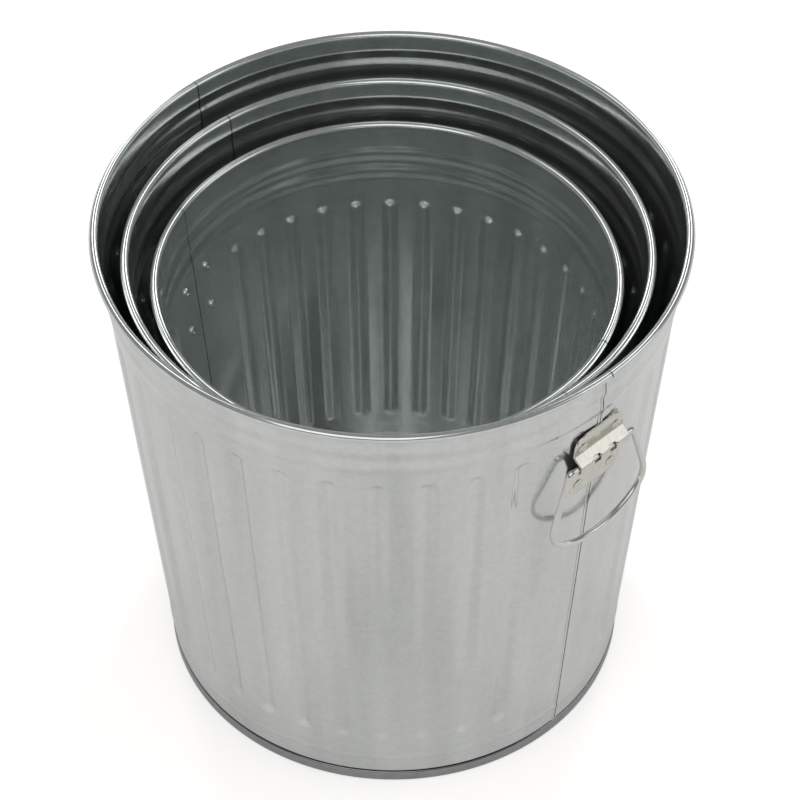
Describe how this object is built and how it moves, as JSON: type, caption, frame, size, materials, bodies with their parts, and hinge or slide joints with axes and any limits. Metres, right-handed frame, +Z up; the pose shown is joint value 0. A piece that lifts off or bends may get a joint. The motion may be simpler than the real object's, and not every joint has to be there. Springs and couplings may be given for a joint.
{
  "type": "nested galvanised storage cans",
  "caption": "Nested set of tapered open-top galvanised cans with rolled rims, ring beads, pressed flutes, lock seams and riveted brackets that hold swinging wire bails",
  "frame": {"origin": "middle of the bottom edge of the largest can, on the surface it stands on", "axes": "+Z up along the axis of the largest can; +X through the right-hand bracket and lock seam of the largest can"},
  "size_m": [0.44, 0.44, 0.429],
  "materials": {
    "wall_sheet": "bright galvanised sheet with soft vertical streaks",
    "floor_sheet": "galvanised sheet",
    "bracket_plate": "bright plated steel",
    "rivet": "plated steel",
    "bail_wire": "bright plated wire"
  },
  "bodies": {
    "outer_can": {"outer_wall_back": "wall_sheet", "outer_wall_front": "wall_sheet", "outer_floor": "floor_sheet", "outer_bracket_right": "bracket_plate", "outer_rivets_right": "rivet", "outer_bracket_left": "bracket_plate", "outer_rivets_left": "rivet"},
    "outer_bail_right": {"outer_bail_right": "bail_wire"},
    "outer_bail_left": {"outer_bail_left": "bail_wire"},
    "middle_can": {"middle_wall_back": "wall_sheet", "middle_wall_front": "wall_sheet", "middle_floor": "floor_sheet", "middle_bracket_right": "bracket_plate", "middle_rivets_right": "rivet", "middle_bracket_left": "bracket_plate", "middle_rivets_left": "rivet"},
    "middle_bail_right": {"middle_bail_right": "bail_wire"},
    "middle_bail_left": {"middle_bail_left": "bail_wire"},
    "inner_can": {"inner_wall_back": "wall_sheet", "inner_wall_front": "wall_sheet", "inner_floor": "floor_sheet", "inner_bracket_right": "bracket_plate", "inner_rivets_right": "rivet", "inner_bracket_left": "bracket_plate", "inner_rivets_left": "rivet"},
    "inner_bail_right": {"inner_bail_right": "bail_wire"},
    "inner_bail_left": {"inner_bail_left": "bail_wire"}
  },
  "joints": [
    {"name": "middle_lift", "type": "slide", "parent": "outer_can", "child": "middle_can", "axis": [0, 0, 1], "range_m": [0, 0.44]},
    {"name": "inner_lift", "type": "slide", "parent": "middle_can", "child": "inner_can", "axis": [0, 0, 1], "range_m": [0, 0.43]},
    {"name": "outer_bail_right_swing", "type": "hinge", "parent": "outer_can", "child": "outer_bail_right", "pos_m": [0.21418, 0, 0.34653], "axis": [0, -1, 0], "range_deg": [-5, 165]},
    {"name": "outer_bail_left_swing", "type": "hinge", "parent": "outer_can", "child": "outer_bail_left", "pos_m": [-0.21418, 0, 0.34653], "axis": [0, 1, 0], "range_deg": [-5, 165]},
    {"name": "middle_bail_right_swing", "type": "hinge", "parent": "middle_can", "child": "middle_bail_right", "pos_m": [0.18766, -0.01628, 0.32061], "axis": [-0.075, -0.9972, 0], "range_deg": [-2, 1.5]},
    {"name": "middle_bail_left_swing", "type": "hinge", "parent": "middle_can", "child": "middle_bail_left", "pos_m": [-0.19153, 0.01223, 0.32061], "axis": [0.075, 0.9972, 0], "range_deg": [-2, 1.5]},
    {"name": "inner_bail_right_swing", "type": "hinge", "parent": "inner_can", "child": "inner_bail_right", "pos_m": [0.15303, 0.05858, 0.29218], "axis": [0.3665, -0.9304, 0], "range_deg": [-1, 1.5]},
    {"name": "inner_bail_left_swing", "type": "hinge", "parent": "inner_can", "child": "inner_bail_left", "pos_m": [-0.15829, -0.06406, 0.29218], "axis": [-0.3665, 0.9304, 0], "range_deg": [-1, 1.5]}
  ]
}
